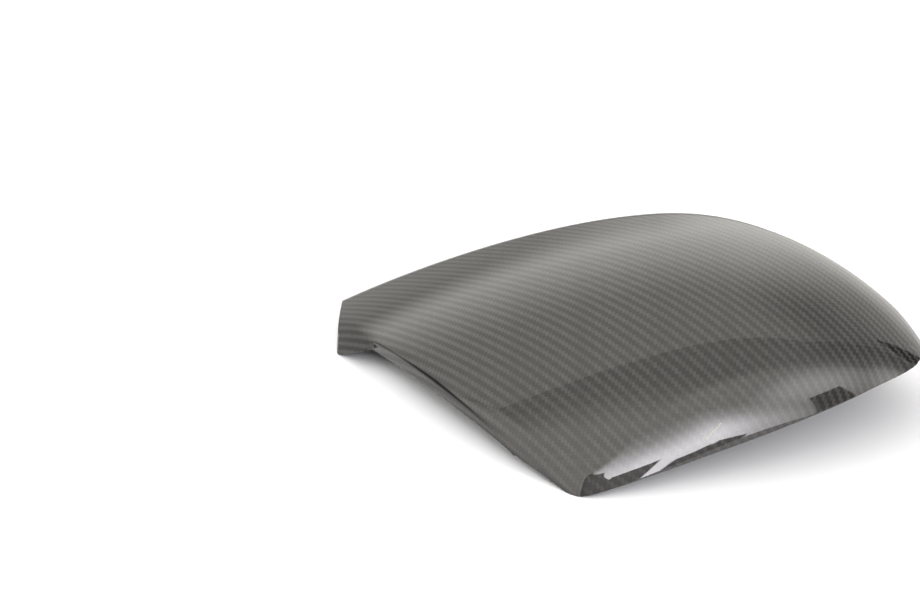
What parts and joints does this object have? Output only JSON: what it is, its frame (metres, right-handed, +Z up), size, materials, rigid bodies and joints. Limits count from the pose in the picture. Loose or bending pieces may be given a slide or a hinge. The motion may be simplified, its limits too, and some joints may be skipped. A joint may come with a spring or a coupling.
{
  "type": "wing mirror cover",
  "caption": "Domed wing mirror cover: a thin shell of glossy woven carbon laminate with rolled edges, a creased flange on the arm side and an open hollow inside.",
  "frame": {"origin": "on the ground under the middle of the cover, which lies convex side up on its rim", "axes": "+X towards the outboard tip, +Y towards the far long edge, +Z up"},
  "size_m": [0.2614, 0.1738, 0.0564],
  "materials": {
    "carbon_laminate": "woven carbon cloth under a polished clear coat, satin on the inside"
  },
  "bodies": {
    "root": {"mirror_cover": "carbon_laminate"}
  },
  "joints": []
}
